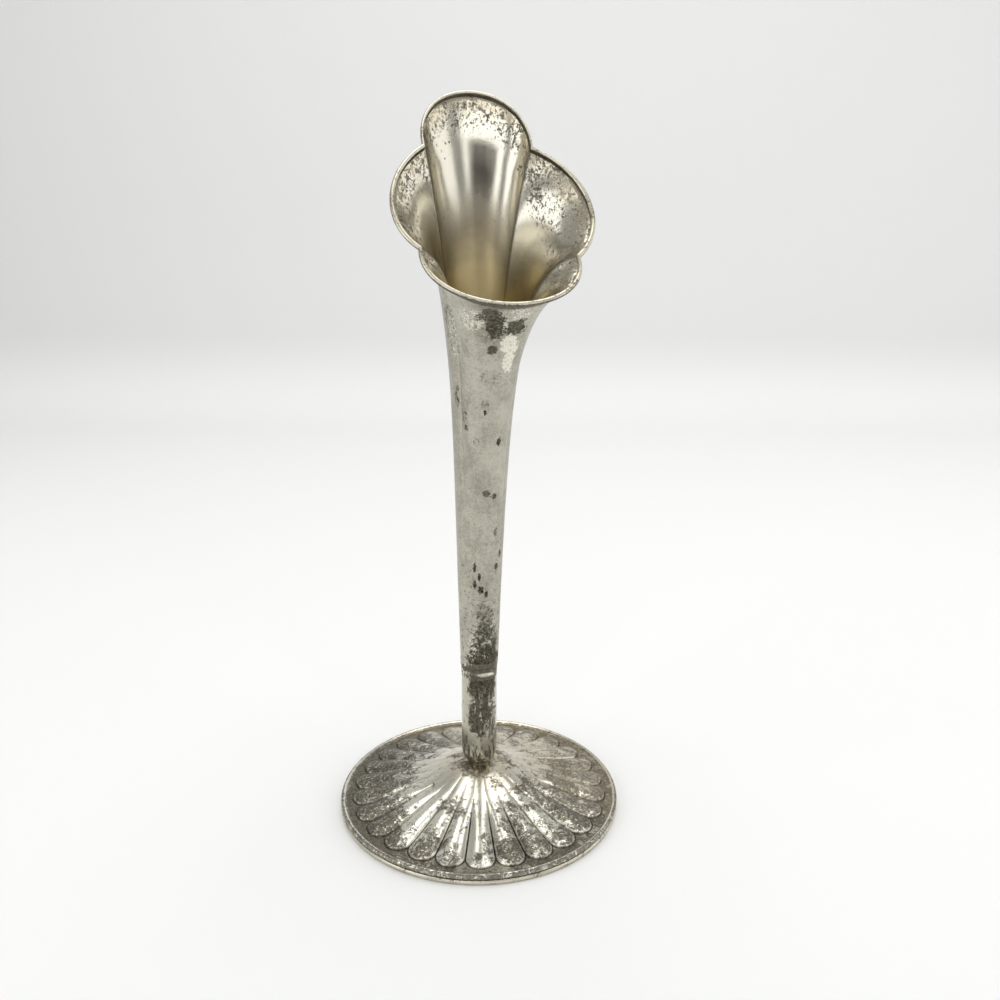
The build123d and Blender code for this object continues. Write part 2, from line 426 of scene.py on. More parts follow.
        # Lining of the mouth, darkened deeper in by a painted shade colour, and satin outside
        depth = shader.between(edge + (cloud - 0.5) * 6.0, 14.0, 27.0)
        deep = shader.between(edge + (cloud - 0.5) * 12.0, 24.0, 36.0)
        mouth, throat = shader.mix(rim * 0.4, self.silver, self.warm), shader.mix(deep, self.throat_shade, self.gold)
        lining = shader.mix(depth, mouth, throat)
        grain = streak * 0.12 + fine * 0.38 + ragged * 0.5 + (cloud - 0.5) * 0.35
        satin = shader.mix(shader.between(grain, 0.37, 0.60), self.satin_low, self.satin)
        plate = shader.mix(pale, shader.mix(inner, satin, lining), self.cream)
        dark = dark * (1.0 - pale * 0.9)
        rough = self.rough - inner * 0.24 + (streak - 0.5) * 0.15 + depth * inner * 0.24
        return self.finish(shader, plate, rough, dark, fine * 0.5 - dark * 0.4 + 0.4)


@dataclass(frozen=True)
class WirePlate(Plate):
    """Plate of the wires: bright on top, dark underneath and in the groove, as painted shade."""

    def material(self) -> bpy.types.Material:
        """Make the wires' material.

        Returns:
            The material.
        """
        shader = Shader("silver_wire")
        fine = shader.noise(2200.0, 3.0, 0.65)
        cloud = shader.noise(260.0, 3.0, 0.6)
        # The stored number under marks painted shade: high where the wire faces down, in its groove and at its base.
        under = shader.attribute("under")
        dark = shader.between(under + (fine - 0.5) * 0.6 + (cloud - 0.5) * 0.4, 0.42, 0.60) * 0.9
        dark = dark | (shader.between(fine * 0.6 + cloud * 0.4, 0.54, 0.60) * 0.75)
        plate = shader.mix(cloud * 0.5, self.silver, self.warm)
        return self.finish(shader, plate, self.rough + fine * 0.1, dark, fine * 0.6)


@dataclass(frozen=True)
class StemPlate(Plate):
    """Plate of the lower stem: dark patches below the joint, long bright streaks and a bright end, with a darker band
    at the very bottom: tarnish and painted contact shade.
    """

    silver: Colour = (0.55, 0.53, 0.45)
    warm: Colour = (0.40, 0.36, 0.27)
    rough: float = 0.14
    stains: tuple[Stain, ...] = (
        Stain((0.1, -4.4, 32.6), (4.3, 3.4, 4.0), 1.0, 1.6),
        Stain((-0.9, -4.4, 25.2), (3.2, 3.2, 6.2), 0.95, 1.8),
        Stain((2.4, -4.0, 24.0), (1.5, 2.5, 5.0), 0.85, 2.6),
    )

    def material(self) -> bpy.types.Material:
        """Make the lower stem's material.

        Returns:
            The material.
        """
        shader = Shader("silver_stem")
        streak = shader.noise(1100.0, 3.0, 0.65, (1.0, 1.0, 0.25), 0.4)
        fine = shader.noise(2000.0, 3.0, 0.65)
        ragged = shader.noise(650.0, 5.0, 0.75)
        cloud = shader.noise(170.0, 3.0, 0.6)
        height = shader.axis("Z")
        flecks = shader.between(streak * 0.7 + fine * 0.3, 0.53, 0.58) * shader.between(height, 34.0, 26.0)
        low = shader.between(height, 22.0, 17.0)
        dark = self.union(shader, self.stains, ragged) * (1.0 - flecks * 0.9)
        lines = shader.between(streak, 0.60 - low * 0.1, 0.63 - low * 0.08)
        # Darker band at the very bottom by the dome: tarnish and painted contact shade.
        end = shader.between(height + (ragged - 0.5) * 1.5, 11.0, 10.6) * 0.4
        dark = dark | (lines * (0.6 + low * 0.3)) | end
        plate = shader.mix(cloud * 0.4, self.silver, self.warm)
        return self.finish(shader, plate, self.rough + streak * 0.12, dark, streak * 0.7 + fine * 0.3)


@dataclass(frozen=True)
class FootPlate(Plate):
    """Plate of the foot: bright speckled petals with olive-brown tarnish in the hollows, and painted shade on the
    left side and round the stem.
    """

    silver: Colour = (0.74, 0.72, 0.63)
    warm: Colour = (0.58, 0.50, 0.34)
    tarnish_and_shade: Colour = (0.17, 0.148, 0.105)
    black: Colour = (0.032, 0.028, 0.02)
    rough: float = 0.20

    def material(self) -> bpy.types.Material:
        """Make the foot's material.

        Returns:
            The material.
        """
        shader = Shader("silver_foot")
        border = shader.attribute("border")
        radius = shader.radius()
        patch = shader.noise(360.0, 6.0, 0.85, warp=0.3)
        fine = shader.noise(1500.0, 4.0, 0.8)
        cloud = shader.noise(75.0, 2.0, 0.5)
        across, deep = shader.axis("X"), shader.axis("Y")
        calm = shader.between(across * 0.75 + deep * 0.65 + (cloud - 0.5) * 20.0, 4.0, 15.0)
        # More dark mottle and less bright bead on the left: tarnish and painted shade on that side.
        left = shader.between(deep * 0.4 - across + (cloud - 0.5) * 20.0, 6.0, 20.0)
        margin = shader.between(border, 0.05, -0.2) * shader.between(radius, 33.9, 33.5)
        outer = shader.between(radius, 20.0, 31.0)
        inward = shader.between(radius, 18.0, 9.0)
        crown = shader.between(radius, 11.0, 6.0)
        petal = shader.between(radius, 13.0, 21.0)
        groove = shader.between(border, 0.22, 0.04) * shader.between(border, -0.35, -0.1) * petal
        bead = shader.between(border, 0.08, 0.2) * shader.between(border, 0.55, 0.38) * petal
        # Tarnish, with painted shade on the left side and round the stem
        zone = outer * 0.07 + left * 0.06 - inward * 0.05 + crown * 0.08
        mottle = patch * 0.8 + fine * 0.2 + zone + (cloud - 0.5) * 0.4
        dark = shader.between(mottle, 0.50, 0.55) * (0.95 - calm * 0.15)
        dark = dark * (1.0 - shader.between(fine, 0.56, 0.61) * 0.85)
        dark = dark | (shader.between(fine, 0.42, 0.37) * 0.8)
        dark = dark * (1.0 - bead * (0.6 - left * 0.45 - calm * 0.3) * shader.between(fine, 0.42, 0.54))
        crusted = margin * (0.3 + shader.between(fine * 0.6 + patch * 0.4, 0.44, 0.56) * 0.6)
        # Darker ring round the stem: tarnish and painted contact shade.
        seat = shader.between(radius + (patch - 0.5) * 4.0, 3.4, 2.6) * 0.4
        dark = dark | (groove * (0.75 - calm * 0.3)) | crusted | seat
        # Rolled edge
        seam = shader.between(shader.axis("Z"), 1.75, 1.45)
        lip = shader.between(radius, 33.6, 34.0)
        worn = shader.between(radius, 34.0, 34.25) * shader.between(radius, 34.8, 34.5)
        dark = dark * (1.0 - lip) + lip * shader.between(fine * 0.5 + patch * 0.5 - worn * 0.1, 0.42, 0.49) * 0.85
        dark = dark | (lip * seam * 0.9)
        warmth = calm * 0.5 + inward * 0.25 + crown * 0.25 + margin * 0.5 + (cloud - 0.5) * 0.6
        plate = shader.mix(warmth, self.silver, self.warm)
        return self.finish(shader, plate, self.rough + calm * 0.05, dark, fine * 0.5 + patch * 0.5 - dark * 0.3)


@dataclass(frozen=True)
class SolderPlate(Plate):
    """Dull soft solder, bright along its ridge at the front: wear and a painted highlight."""

    rough: float = 0.26

    def material(self) -> bpy.types.Material:
        """Make the solder's material.

        Returns:
            The material.
        """
        shader = Shader("soft_solder")
        lump = shader.noise(700.0, 4.0, 0.7)
        fine = shader.noise(2400.0, 3.0, 0.6)
        # Where the ridge is kept bright: wear and a painted highlight.
        wear_and_glint = shader.between(shader.attribute("wear_and_glint") + (fine - 0.5) * 0.8, 0.35, 0.7)
        crusted = shader.attribute("crusted")
        dark = shader.between(lump * 0.5 + fine * 0.5 + crusted * 0.35, 0.52, 0.66) * 0.9 * (1.0 - wear_and_glint)
        plate = shader.mix(lump * 0.5, self.silver, self.warm)
        return self.finish(shader, plate, self.rough, dark, lump)


def lobe(start: Array, crest: Array, end: Array, fullness: Array, steps: Array) -> Array:
    """Cubic curves from start over the crest to end; at a fullness of 1 they follow arcs.

    Args:
        start: First points, one per row.
        crest: Middle points, one per row.
        end: Last points, one per row.
        fullness: Fullness of each row's curve.
        steps: Shares of the way along the curve.

    Returns:
        Points by row, step and axis.
    """
    chord = end - start
    rise = np.linalg.norm(crest - start - chord / 2, axis=-1)
    quarter = np.arctan2(rise, np.linalg.norm(chord, axis=-1) / 2)
    spread = (fullness * (1 - 4 / 3 * np.tan(quarter) / np.tan(2 * quarter)))[:, None]
    middle = (8 * crest - start - end) / 6
    first, second = middle - chord * spread / 2, middle + chord * spread / 2
    t = steps[None, :, None]
    curve = (1 - t) ** 3 * start[:, None] + 3 * t * (1 - t) ** 2 * first[:, None]
    return curve + 3 * t * t * (1 - t) * second[:, None] + t**3 * end[:, None]


def ease(value: Array) -> Array:
    """Smooth step of values clipped to 0 and 1."""
    clipped = np.clip(value, 0.0, 1.0)
    return clipped * clipped * (3 - 2 * clipped)


def clustered(count: int) -> Array:
    """Steps from 0 towards 1, close together at both ends, without the last."""
    return 0.5 - 0.5 * np.cos(np.pi * np.arange(count) / count)


class Skin:
    """A mesh of rows of points round a ring, with numbers stored on its points."""

    def __init__(self, rows: Array, around_flipped: bool = False) -> None:
        """Keep the rows.

        Args:
            rows: Points by row, place round the ring and axis, in millimetres.
            around_flipped: Whether the faces turn the other way.
        """
        self.rows = rows
        self.flipped = around_flipped
        self.numbers: dict[str, Array] = {}

    def number(self, name: str, values: Array) -> "Skin":
        """Store a number by row and place."""
        self.numbers[name] = np.broadcast_to(values, self.rows.shape[:2])
        return self

    def build(self, name: str, node: str, slot: Slot, material: bpy.types.Material, closed: bool) -> bpy.types.Object:
        """Make the object that stands for a CAD node.

        Args:
            name: The object's name.
            node: The CAD node that it replaces.
            slot: Not used.
            material: Its material.
            closed: Whether the last row joins the first; otherwise both end rows are closed by a fan.

        Returns:
            The object.
        """
        count, around = self.rows.shape[:2]
        index = np.arange(count * around).reshape(count, around)
        below, above = (index, np.roll(index, -1, 0)) if closed else (index[:-1], index[1:])
        quads = np.stack([below, np.roll(below, -1, 1), np.roll(above, -1, 1), above], -1).reshape(-1, 4)
        faces = quads[:, ::-1].tolist() if self.flipped else quads.tolist()
        if not closed:
            ends = [index[0][::-1].tolist(), index[-1].tolist()]
            faces += [end[::-1] for end in ends] if self.flipped else ends
        mesh = bpy.data.meshes.new(name)
        mesh.from_pydata((self.rows.reshape(-1, 3) * MM).tolist(), [], faces)
        mesh.polygons.foreach_set("use_smooth", np.ones(len(mesh.polygons), bool))
        mesh.set_sharp_from_angle(angle=math.radians(40))
        for key, values in self.numbers.items():
            stored = mesh.attributes.new(key, "FLOAT", "POINT")
            stored.data.foreach_set("value", values.astype(np.float32).ravel())
        mesh.materials.append(material)
        made = bpy.data.objects.new(name, mesh)
        bpy.context.scene.collection.objects.link(made)
        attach(made, BODY)
        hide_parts(node)
        LOG.info("%s: %d faces", name, len(mesh.polygons))
        return made


@dataclass(frozen=True)
class Trumpet:
    """The bent, flared trumpet and the wire round its four-lobed mouth."""

    wall: float = 0.8
    joint_height: float = 38.8
    joint_radius: float = 4.6
    stem_growth: float = 3.9
    bend_height: float = 105.7
    mouth_height: float = 147.2
    mouth_forward: float = 11.8
    mouth_tilt: float = 55.2
    tilt_power: float = 2.0
    flare_power: float = 5.8
    back_lobe_power: float = 5.5
    back_cusp_power: float = 3.7
    front_lobe_power: float = 3.0
    back_lobe_reach: float = 26.1
    back_lobe_fullness: float = 0.85
    side_lobe_reach: float = 20.7
    side_lobe_drop: float = 0.4
    front_lobe_reach: float = 25.3
    front_lobe_fullness: float = 1.6
    back_cusp_across: float = 11.6
    back_cusp_along: float = 12.0
    front_cusp_across: float = 16.3
    front_cusp_along: float = 14.4
    back_lobe_lean: float = 1.3
    left_cusp_lift: float = 1.9
    dish: tuple[float, float, float, float] = (0.9, 0.8, 0.3, 0.8)
    dish_start: float = 9.0
    dish_end: float = 34.0
    dish_fade: float = 22.0
    wire_radius: float = 0.52
    wire_set: float = 0.2
    wire_lift: float = 0.5
    wire_sides: int = 20
    rows: int = 150
    lobe_steps: int = 56

    def corner(self, across: float, along: float, power: float, share: Array, inset: Array) -> Array:
        """Points of the sections below a point of the mouth's outline.

        Args:
            across: The mouth point's place across.
            along: The mouth point's place along the tilted mouth.
            power: How late the trumpet flares there.
            share: Shares of the way from the joint to the mouth.
            inset: Distances in from the outer face.

        Returns:
            Points by row and axis.
        """
        reach = math.hypot(across, along)
        stem = self.joint_radius + self.stem_growth * share
        radius = stem + (reach - self.joint_radius - self.stem_growth) * share**power - inset
        return np.stack([across / reach * radius, along / reach * radius], -1)

    def outline(self, share: Array, inset: Array) -> Array:
        """The four lobes, back, right, front and left, of the sections.

        Args:
            share: Shares of the way from the joint to the mouth.
            inset: Distances in from the outer face.

        Returns:
            Points by row, place round the section and axis.
        """
        lean, late = self.back_lobe_lean, self.flare_power
        back_across, back_along, back_power = self.back_cusp_across, self.back_cusp_along, self.back_cusp_power
        back = self.corner(-lean, self.back_lobe_reach, self.back_lobe_power, share, inset)
        back_right = self.corner(back_across - lean, back_along, back_power, share, inset)
        right = self.corner(self.side_lobe_reach, -self.side_lobe_drop, late, share, inset)
        front_right = self.corner(self.front_cusp_across, -self.front_cusp_along, late, share, inset)
        front = self.corner(0.0, -self.front_lobe_reach, self.front_lobe_power, share, inset)
        left_along = self.left_cusp_lift - self.front_cusp_along
        front_left = self.corner(-self.front_cusp_across, left_along, late, share, inset)
        left = self.corner(-self.side_lobe_reach, -self.side_lobe_drop, late, share, inset)
        back_left = self.corner(-back_across - lean, back_along, back_power, share, inset)
        plain = np.ones_like(share)
        slim = 1 + (self.back_lobe_fullness - 1) * share**late
        full = 1 + (self.front_lobe_fullness - 1) * share**late
        steps = clustered(self.lobe_steps)
        lobes = (
            lobe(back_left, back, back_right, slim, steps),
            lobe(back_right, right, front_right, plain, steps),
            lobe(front_right, front, front_left, full, steps),
            lobe(front_left, left, back_left, plain, steps),
        )
        return np.concatenate(lobes, 1)

    def placed(self, flat: Array, share: Array, lift: Array) -> Array:
        """Sections moved to their planes.

        Args:
            flat: Points by row, place and axis, in the sections' planes.
            share: Shares of the way from the joint to the mouth.
            lift: Distances along the planes' normals.

        Returns:
            Points in the frame of the part.
        """
        left = 1 - share
        height = self.joint_height * left**2 + 2 * self.bend_height * share * left + self.mouth_height * share**2
        tilt = np.radians(self.mouth_tilt * share**self.tilt_power)
        sine, cosine = np.sin(tilt)[:, None], np.cos(tilt)[:, None]
        x, along = flat[..., 0], flat[..., 1]
        y = -self.mouth_forward * (share**2)[:, None] + along * cosine - lift[:, None] * sine
        z = height[:, None] + along * sine + lift[:, None] * cosine
        return np.stack([x, y, z], -1)

    def dished(self, outer: Array, edge: Array, step: Array) -> Array:
        """Move of the sheet, inside and outside alike, that hollows the lobes like spoons.

        Args:
            outer: Points of the outer face.
            edge: Their distance from the mouth.
            step: Places along one lobe, from 0 to 1.

        Returns:
            Moves of the outer rows and then of the inner rows.
        """
        normal = np.cross(np.roll(outer, -1, 1) - np.roll(outer, 1, 1), np.gradient(outer, axis=0))
        normal = normal / np.linalg.norm(normal, axis=-1, keepdims=True)
        amount = np.concatenate([size * np.sin(np.pi * step) ** 1.5 for size in self.dish])
        fade = ease(edge / self.dish_start) * ease((self.dish_end - edge) / self.dish_fade)
        move = normal * (amount * fade)[..., None]
        return np.concatenate([move, move[::-1]])

    def build_shell(self, material: bpy.types.Material) -> None:
        """Make the sheet trumpet, outside and inside.

        Args:
            material: The trumpet's material.
        """
        up = np.linspace(0.0, 1.0, self.rows)
        share = np.concatenate([up, up[::-1]])
        inset = np.concatenate([np.zeros_like(up), np.full_like(up, self.wall)])
        points = self.placed(self.outline(share, inset), share, np.zeros_like(share))
        step = clustered(self.lobe_steps)
        size = np.linalg.norm(points - np.roll(points, -1, 1), axis=-1).sum(1) / 4
        crease = np.tile(np.minimum(step, 1 - step), 4)[None] * size[:, None]
        mouth = np.where(np.arange(2 * self.rows) < self.rows, self.rows - 1, self.rows)
        edge = np.linalg.norm(points - points[mouth], axis=-1)
        points = points + self.dished(points[: self.rows], edge[: self.rows], step)
        skin = Skin(points).number("along", share[:, None]).number("crease", crease).number("edge", edge)
        skin.number("inner", (inset > 0)[:, None].astype(float))
        skin.build("trumpet_sheet", "trumpet_shell", Slot.TRUMPET, material, True)

    def build_wire(self, material: bpy.types.Material) -> None:
        """Make the wire that sits on the mouth's edge.

        Args:
            material: The wires' material.
        """
        turn = np.linspace(0.0, 2 * np.pi, self.wire_sides, endpoint=False)
        share = np.ones_like(turn)
        out, up = np.cos(turn), np.sin(turn)
        flat = self.outline(share, self.wire_set - self.wire_radius * out)
        points = self.placed(flat, share, self.wire_lift + self.wire_radius * up)
        tilt = math.radians(self.mouth_tilt)
        uphill = flat[..., 1] / np.linalg.norm(flat, axis=-1) * math.sin(tilt)
        # Painted shade: darker where the wire faces down and in its inner groove against the sheet.
        facing = up[:, None] * math.cos(tilt) + out[:, None] * uphill
        groove = np.exp(-(((turn - np.pi) / 0.7) ** 2))[:, None]
        skin = Skin(points).number("under", np.clip(0.40 - 0.6 * facing + 0.3 * groove, 0.0, 1.0))
        skin.build("mouth_bead", "mouth_wire", Slot.WIRE, material, True)


@dataclass(frozen=True)
class Stem:
    """The lower tube with its rounded end, and the solder at the lap joint."""

    bottom_height: float = 9.9
    shoulder_height: float = 14.9
    radius: float = 4.4
    flat_radius: float = 0.3
    wall: float = 0.6
    joint_height: float = 38.8
    joint_radius: float = 4.35
    spigot_radius: float = 3.72
    lap_length: float = 8.0
    run_above: float = 0.5
    run_below: float = 4.2
    run_depth: float = 0.35
    ridge_drop: float = 2.5
    ridge_width: float = 0.62
    ridge_height: float = 0.50
    seam_drop: float = 1.25
    seam_depth: float = 0.12
    front_turn: float = 0.15
    front_spread: float = 0.75
    around: int = 96

    def lathe(self, profile: Array) -> Array:
        """Turn a profile of radius and height into rows.

        Args:
            profile: Radius and height of each row.

        Returns:
            Points by row, place round the axis and axis.
        """
        angle = np.linspace(0, 2 * np.pi, self.around, endpoint=False)
        radius, height = profile[:, 0, None], profile[:, 1, None]
        return np.stack([radius * np.cos(angle), radius * np.sin(angle), height + 0 * angle], -1)

    def tip_end(self, radius: float, bottom: float) -> Array:
        """Profile of a rounded end, from its small flat up to the shoulder.

        Args:
            radius: Radius at the shoulder.
            bottom: Height of the flat.

        Returns:
            Radius and height of each point.
        """
        turn = np.linspace(0, np.pi / 2, 24)
        across = self.flat_radius + (radius - self.flat_radius) * np.sin(turn)
        return np.stack([across, self.shoulder_height - (self.shoulder_height - bottom) * np.cos(turn)], -1)

    def build_tip(self, material: bpy.types.Material) -> None:
        """Make the closed tube with the spigot at its top.

        Args:
            material: The lower stem's material.
        """
        rise = np.linspace(0, 1, 60)[1:]
        side = np.stack(
            [
                self.radius + (self.joint_radius - self.radius) * rise,
                self.shoulder_height + (self.joint_height - self.shoulder_height) * rise,
            ],
            -1,
        )
        top = self.joint_height + self.lap_length
        bore = self.spigot_radius - self.wall
        spigot = np.array([(self.spigot_radius, self.joint_height), (self.spigot_radius, top), (bore, top)])
        inside = self.tip_end(bore, self.bottom_height + self.wall)[::-1]
        rows = self.lathe(np.concatenate([self.tip_end(self.radius, self.bottom_height), side, spigot, inside]))
        Skin(rows).build("stem_tube", "stem_tip", Slot.STEM, material, False)

    def build_joint(self, material: bpy.types.Material) -> None:
        """Make the uneven run of solder under the trumpet's lower edge.

        Args:
            material: The solder's material.
        """
        angle = np.linspace(0, 2 * np.pi, self.around * 2, endpoint=False)
        off_front = (angle + np.pi / 2 - self.front_turn + np.pi) % (2 * np.pi) - np.pi
        front = np.exp(-(off_front / self.front_spread) ** 2)
        wave = np.sin(5 * angle + 1.0) + 0.8 * np.sin(11 * angle)
        drop = np.linspace(self.run_above, -self.run_below, 48)[:, None]
        swell = np.exp(-(((drop + self.ridge_drop + 0.06 * wave) / self.ridge_width) ** 2))
        ridge = (0.03 + 0.02 * wave + self.ridge_height * front) * swell
        collar = (0.04 + 0.02 * wave) * np.exp(-((drop / 0.35) ** 2))
        seam = self.seam_depth * np.exp(-(((drop + self.seam_drop) / 0.22) ** 2))
        step = 0.26 * ease((drop + 2.2) / 1.6) + 0.03 * ease((drop + self.run_below) / 0.8)
        radius = self.joint_radius + step + ridge + collar - seam
        outer = np.stack([radius * np.cos(angle), radius * np.sin(angle), self.joint_height + drop + 0 * angle], -1)
        shrink = 1 - self.run_depth / self.joint_radius
        inside = outer[[-1, 0]] * (shrink, shrink, 1.0)
        # Untarnished ridge only at the front: wear and a painted highlight.
        wear_and_glint = np.concatenate([ridge * 2.2 * front, np.zeros_like(ridge[:2])])
        crusted = np.exp(-(((drop + self.seam_drop) / 0.45) ** 2)) + front + 0.2
        crusted = np.concatenate([crusted, np.ones_like(ridge[:2])])
        skin = Skin(np.concatenate([outer, inside])[::-1]).number("wear_and_glint", wear_and_glint[::-1])
        skin.number("crusted", crusted[::-1]).build("joint_run", "joint_solder", Slot.SOLDER, material, True)


@dataclass(frozen=True)
class Foot:
    """The petalled dome, the standing wire under its edge and the solder at the stem."""

    radius: float = 35.2
    wire_width: float = 2.6
    wire_height: float = 1.3
    edge_height: float = 1.4
    edge_width: float = 1.7
    margin_drop: float = 0.55
    margin_width: float = 6.2
    sheet: float = 0.8
    peak_height: float = 14.4
    power: float = 1.35
    petal_count: int = 26
    petal_turn: float = 1.5
    petal_reach: float = 3.3
    petal_power: float = 3.0
    puff_height: float = 0.85
    bead_height: float = 0.10
    bead_inset: float = 0.26
    groove_depth: float = 0.22
    line_width: float = 0.14
    relief_start: float = 12.0
    relief_run: float = 10.0
    hollow_inset: float = 0.5
    crown_radius: float = 6.4
    crown_round: float = 2.6
    hole_radius: float = 2.0
    solder_radius: float = 2.4
    solder_size: float = 0.24
    solder_wave: float = 0.03
    petal_steps: int = 26
    dome_rows: int = 110

    @property
    def root(self) -> float:
        """Radius of the valleys between the petals' ends."""
        return self.radius - self.margin_width

    @property
    def edge_top(self) -> float:
        """Height of the top of the rolled edge."""
        return self.wire_height + self.edge_height

    @property
    def margin_height(self) -> float:
        """Height of the flat margin."""
        return self.edge_top - self.margin_drop

    def bell(self, ring: Array) -> Array:
        """Height of the dome between its petals, with a rounded crown.

        Args:
            ring: Radii of the rings' valleys.

        Returns:
            Height at each radius.
        """
        past = ring - self.crown_radius
        rounded = self.crown_radius + (past + np.sqrt(past**2 + self.crown_round**2)) / 2
        share = np.clip(1 - rounded / self.root, 0.0, 1.0)
        return self.margin_height + (self.peak_height - self.margin_height) * share**self.power

    def petals(self, ring: Array) -> tuple[Array, Array]:
        """Rings of petals.

        Args:
            ring: Radii of the rings' valleys.

        Returns:
            Radius by ring and place round it, and angle from the petal's middle.
        """
        half = np.pi / self.petal_count
        start = np.stack([ring * np.cos(half), -ring * np.sin(half)], -1)
        end = np.stack([ring * np.cos(half), ring * np.sin(half)], -1)
        crest = np.stack([ring + self.petal_reach * (ring / self.root) ** self.petal_power, 0 * ring], -1)
        curve = lobe(start, crest, end, np.ones_like(ring), clustered(self.petal_steps))
        return np.hypot(curve[..., 0], curve[..., 1]), np.arctan2(curve[..., 1], curve[..., 0])

    def border(self, radius: Array, angle: Array) -> Array:
        """Distance in from a petal's outline, below 0 on the margin.

        Args:
            radius: Radius of each point.
            angle: Angle of each point from its petal's middle.

        Returns:
            The distances.
        """
        half = np.pi / self.petal_count
        chord = self.root * math.sin(half)
        rise = self.petal_reach + self.root * (1 - math.cos(half))
        round_radius = (chord**2 + rise**2) / (2 * rise)
        centre = self.root + self.petal_reach - round_radius
        x, y = radius * np.cos(angle), radius * np.sin(angle)
        side = radius * np.sin(half - np.abs(angle))
        tip = round_radius - np.hypot(x - centre, y)
        return np.where(x > centre, tip, side)

    def relief(self, border: Array, ring: Array) -> Array:
        """Extra height of a petal's puffed face and the bead along its outline.

        Args:
            border: Distance in from the petal's outline.
            ring: Radii of the rings' valleys.

        Returns:
            The extra height.
        """
        half = ring * math.sin(np.pi / self.petal_count)
        rest = 1 - np.clip(border / half, 0.0, 1.0)
        puff = self.puff_height * np.sqrt(1 - rest**2)
        bead = self.bead_height * np.exp(-(((border - self.bead_inset) / self.line_width) ** 2))
        groove = self.groove_depth * np.exp(-((border / self.line_width) ** 2))
        return ease((ring - self.relief_start) / self.relief_run) * (puff + bead - groove)

    def spun(self, radius: Array, angle: Array, height: Array) -> Array:
        """Repeat one petal's points round the foot.

        Args:
            radius: Radius by row and place across the petal.
            angle: Angle from the petal's middle.
            height: Height.

        Returns:
            Points by row, place round the foot and axis.
        """
        turn = math.radians(self.petal_turn - 90) + np.arange(self.petal_count) * 2 * np.pi / self.petal_count
        whole = (angle[:, None, :] + turn[None, :, None]).reshape(len(angle), -1)
        wide, tall = (np.tile(value, (1, self.petal_count)) for value in (radius, height))
        return np.stack([wide * np.cos(whole), wide * np.sin(whole), tall], -1)

    def build_dome(self, material: bpy.types.Material) -> None:
        """Make the stamped dome with its margin and rolled edge, above and below.

        Args:
            material: The foot's material.
        """
        step = np.linspace(0, 1, self.dome_rows)
        ring = self.hole_radius + (self.root - self.hole_radius) * (1 - (1 - step) ** 1.6)
        radius, angle = self.petals(ring)
        border = self.border(radius, angle)
        height = self.bell(ring)[:, None] + self.relief(border, ring[:, None])
        last_radius, last_angle = radius[-1:], angle[-1:]
        inner_edge, outer_edge = self.radius - self.edge_width, self.radius - self.margin_drop
        out = np.linspace(0, 1, 14)[1:, None]
        margin_radius = last_radius + (inner_edge - last_radius) * out
        margin_height = np.full_like(margin_radius, self.margin_height)
        roll = np.linspace(0, 1, 12)[1:, None]
        roll_radius = inner_edge + (outer_edge - inner_edge) * roll + 0 * last_radius
        roll_height = self.margin_height + self.margin_drop * ease(roll) + 0 * last_radius
        turn = np.linspace(np.pi / 2, -np.pi / 2, 14)[1:, None]
        lip_radius = outer_edge + self.margin_drop * np.cos(turn) + 0 * last_radius
        lip_height = self.wire_height + self.edge_height / 2 * (1 + np.sin(turn)) + 0 * last_radius
        back = np.linspace(0, 1, 6)[1:, None]
        under_radius = outer_edge + (last_radius - self.hollow_inset - outer_edge) * back
        under_height = np.full_like(under_radius, self.wire_height)
        hollow_radius = np.maximum(radius[::-1] - self.hollow_inset * ease((ring[::-1, None] - 15) / 14), 0.0)
        hollow_height = np.maximum(height[::-1] - self.sheet, self.wire_height)
        radii = np.concatenate([radius, margin_radius, roll_radius, lip_radius, under_radius, hollow_radius])
        heights = np.concatenate([height, margin_height, roll_height, lip_height, under_height, hollow_height])
        sides = len(radii) - len(radius) - len(hollow_radius)
        angles = np.concatenate([angle, np.repeat(last_angle, sides, 0), angle[::-1]])
        borders = self.border(radii, angles)
        skin = Skin(self.spun(radii, angles, heights)[::-1])
        skin.number("border", np.tile(borders[::-1], (1, self.petal_count)))
        skin.build("foot_petals", "foot_dome", Slot.FOOT, material, True)

    def build_wire(self, material: bpy.types.Material) -> None:
        """Make the half-round ring that the vase stands on.

        Args:
            material: The wires' material.
        """
        turn = np.linspace(np.pi / 2, -np.pi / 2, 14)
        outer = self.radius - self.margin_drop
        middle = self.wire_height / 2
        arc = np.stack([outer + self.margin_drop * np.cos(turn), middle * (1 + np.sin(turn))], -1)
        inner = self.radius - self.wire_width
        profile = np.concatenate([arc, [(inner, 0.0), (inner, self.wire_height)]])
        angle = np.linspace(0, 2 * np.pi, 240, endpoint=False)
        wide, tall = profile[:, 0, None], profile[:, 1, None]
        rows = np.stack([wide * np.cos(angle), wide * np.sin(angle), tall + 0 * angle], -1)
        # Painted shade: darker at the top against the dome's edge, at the base and on the hidden inner face.
        under = np.concatenate([0.25 + 0.6 * np.sin(turn) ** 4, [1.0, 1.0]])
        skin = Skin(rows[::-1]).number("under", under[::-1, None])
        skin.build("foot_ring", "foot_wire", Slot.WIRE, material, True)

    def build_solder(self, material: bpy.types.Material) -> None:
        """Make the uneven bead of solder round the stem, and dress the one under the dome.

        Args:
            material: The solder's material.
        """
        angle = np.linspace(0, 2 * np.pi, 160, endpoint=False)
        turn = np.linspace(0, 2 * np.pi, 14, endpoint=False)[:, None]
        size = self.solder_size + self.solder_wave * (np.sin(4 * angle) + np.sin(9 * angle + 2))
        radius = self.solder_radius + size * np.cos(turn)
        height = self.bell(0.0) + 0.8 * size * np.sin(turn)
        rows = np.stack([radius * np.cos(angle), radius * np.sin(angle), height], -1)
        skin = Skin(rows[::-1]).number("crusted", np.full_like(angle, 0.15))
        skin.build("base_run", "base_solder", Slot.SOLDER, material, True)
        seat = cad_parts["seat_solder"]
        seat.data.materials.clear()
        seat.data.materials.append(material)
        LOG.info("seat_solder dressed")


